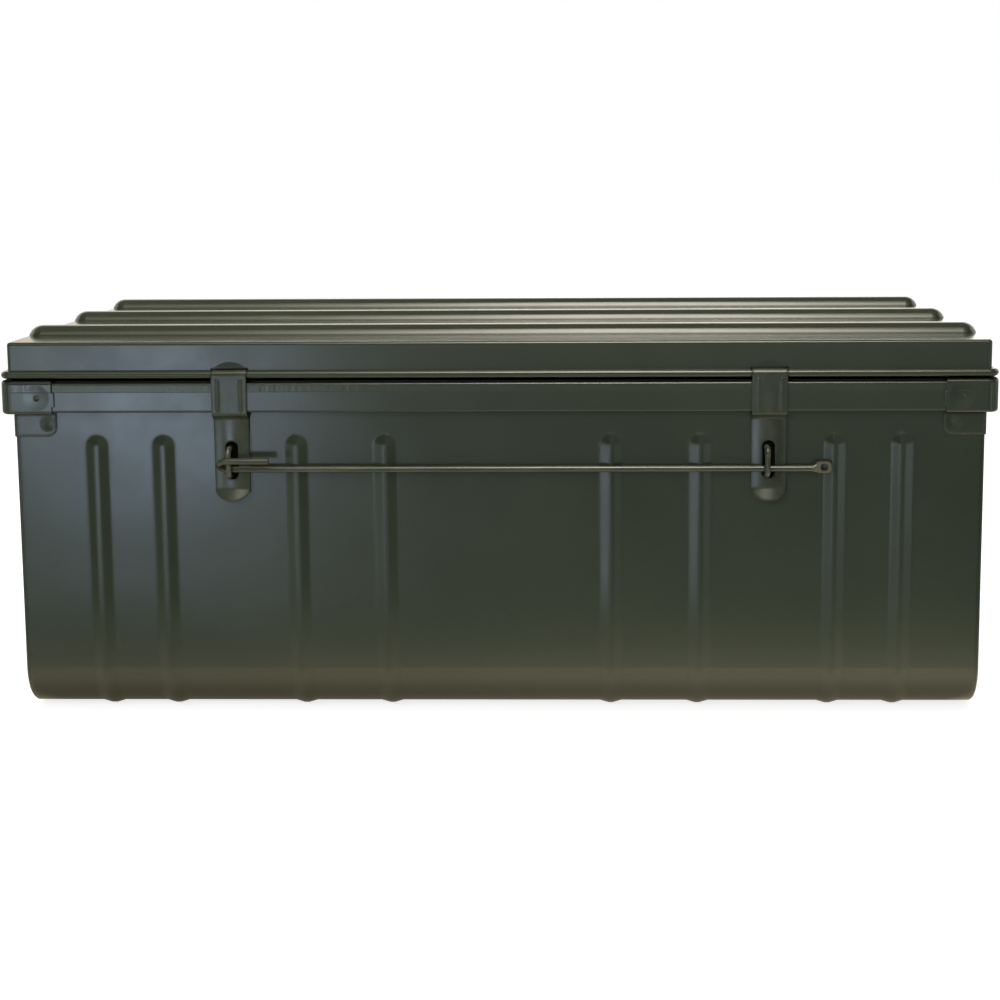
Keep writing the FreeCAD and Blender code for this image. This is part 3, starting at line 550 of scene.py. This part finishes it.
finishes = {
    "body_paint": enamel("body_enamel", *pressed_sheet, 0.0005, 7.0, edge=0.005, crease=lip_shade),
    "rim": enamel("rim_enamel", *rim_sheet, edge=0.0015, crease=lip_shade, ripple=rim_ripple),
    "cap": enamel("cap_enamel", *rim_sheet, edge=0.0015, crease=cap_shade, ripple=rim_ripple),
    "plate": enamel("plate_enamel", *rim_sheet, slot=slot_shade),
    "lid_paint": enamel("lid_enamel", 0.07, 0.16, 0.20, 0.000004, 0.0002, 8.0, edge=0.001),
}
print(len(finishes), "finishes for sheet")

# %% Painted straps, rod and wire
wire_waves = (0.000004, 0.00002, 60.0)
strap_rub, staple_rub = ((60.0, 60.0, 25.0), 0.15), ((90.0, 90.0, 40.0), 0.9)
rod_rub, bail_rub = ((14.0, 160.0, 160.0), 0.45), ((160.0, 14.0, 160.0), 0.45)
polished_end = (0.312, 0.320, 0.0, 0.9)

finishes.update({
    "hardware_paint": enamel("hardware_enamel", 0.10, 0.17, 0.24, 0.000005, 0.00005, 40.0, edge=0.003,
                             rubbed=strap_rub),
    "rod": enamel("rod_enamel", 0.10, 0.16, 0.22, *wire_waves, rubbed=rod_rub, polished=polished_end),
    "bail": enamel("bail_enamel", 0.10, 0.16, 0.22, *wire_waves, rubbed=bail_rub),
    "staple": enamel("staple_enamel", 0.10, 0.18, 0.26, *wire_waves, rubbed=staple_rub),
})
print(len(finishes), "finishes in all")

# %% A finish for every piece
special = {"rim": "rim", "corner_cap": "cap", "locking_rod": "rod", "staple_plate": "plate",
           "staple_left": "staple", "staple_right": "staple", "handle_bail": "bail"}
for piece in frame["record"]["subparts"]:
    chosen = [finish for start, finish in special.items() if piece["node"].startswith(start)]
    coats = nodes[piece["node"]].data.materials
    for index in range(len(coats)):
        coats[index] = finishes[chosen[0] if chosen else piece["material_slot"]]
print(len(finishes), "finishes on", len(nodes), "nodes")

# %% [markdown]
# ## Rivets of the handle clips
# Each handle clip is a strap with a flange above and below the bail, and a rivet holds each flange to the
# end panel. Eight copies of a dome could be placed by hand. All heads are alike, though, so one node tree
# makes a shallow dome and sets it on every rivet point. The result is turned into a plain mesh, because the
# trunk is exported without live modifiers.

# %% Rivet points
clip_sheet = 0.0015
flange_middle = 0.0055
rivet_points = []
for end in ("front", "rear"):
    for side, sign in (("left", -1), ("right", 1)):
        low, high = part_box(f"handle_clip_{end}_{side}")
        face = (low[0] if sign > 0 else high[0]) + sign * clip_sheet
        middle_y = (low[1] + high[1]) / 2
        rivet_points += [(face, middle_y, high[2] - flange_middle), (face, middle_y, low[2] + flange_middle)]
print(len(rivet_points), "rivet points")

# %% Rivet tree
dome_segments, dome_rings = 24, 12
rivets = bpy.data.node_groups.new("rivet_heads", "GeometryNodeTree")
rivets.interface.new_socket("Points", in_out="INPUT", socket_type="NodeSocketGeometry")
rivet_sockets = {name: rivets.interface.new_socket(name, in_out="INPUT", socket_type=kind) for name, kind in (
    ("Head Radius", "NodeSocketFloat"), ("Head Height", "NodeSocketFloat"), ("Finish", "NodeSocketMaterial"))}
rivets.interface.new_socket("Heads", in_out="OUTPUT", socket_type="NodeSocketGeometry")
wanted = add_node(rivets, "NodeGroupInput").outputs
dome = add_node(rivets, "GeometryNodeMeshUVSphere", {
    "Segments": dome_segments, "Rings": dome_rings, "Radius": 1.0}).outputs["Mesh"]
dome_size = add_node(rivets, "ShaderNodeCombineXYZ", {
    "X": wanted["Head Height"], "Y": wanted["Head Radius"], "Z": wanted["Head Radius"]}).outputs[0]
head = add_node(rivets, "GeometryNodeTransform", {"Geometry": dome, "Scale": dome_size}).outputs[0]
heads = add_node(rivets, "GeometryNodeInstanceOnPoints", {
    "Points": wanted["Points"], "Instance": head}).outputs[0]
shaded = add_node(rivets, "GeometryNodeSetShadeSmooth", {"Geometry": heads}).outputs[0]
real = add_node(rivets, "GeometryNodeRealizeInstances", {"Geometry": shaded}).outputs[0]
finished = add_node(rivets, "GeometryNodeSetMaterial", {
    "Geometry": real, "Material": wanted["Finish"]}).outputs[0]
add_node(rivets, "NodeGroupOutput", {"Heads": finished})
print("rivet tree of", len(rivets.nodes), "nodes")

# %% Rivet heads
rivet_values = {"Head Radius": 0.0036, "Head Height": 0.0014, "Finish": finishes["hardware_paint"]}
point_mesh = bpy.data.meshes.new("rivet_points")
point_mesh.from_pydata(rivet_points, [], [])
point_object = bpy.data.objects.new("rivet_points", point_mesh)
scene.collection.objects.link(point_object)
maker = point_object.modifiers.new("rivet_heads", "NODES")
maker.node_group = rivets
for name, value in rivet_values.items():
    maker[rivet_sockets[name].identifier] = value
evaluated = point_object.evaluated_get(bpy.context.evaluated_depsgraph_get())
head_mesh = bpy.data.meshes.new_from_object(evaluated)
bpy.data.objects.remove(point_object)
handle_rivets = bpy.data.objects.new("handle_rivets", head_mesh)
scene.collection.objects.link(handle_rivets)
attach(handle_rivets, "trunk")
print(len(head_mesh.polygons), "faces of rivet heads")
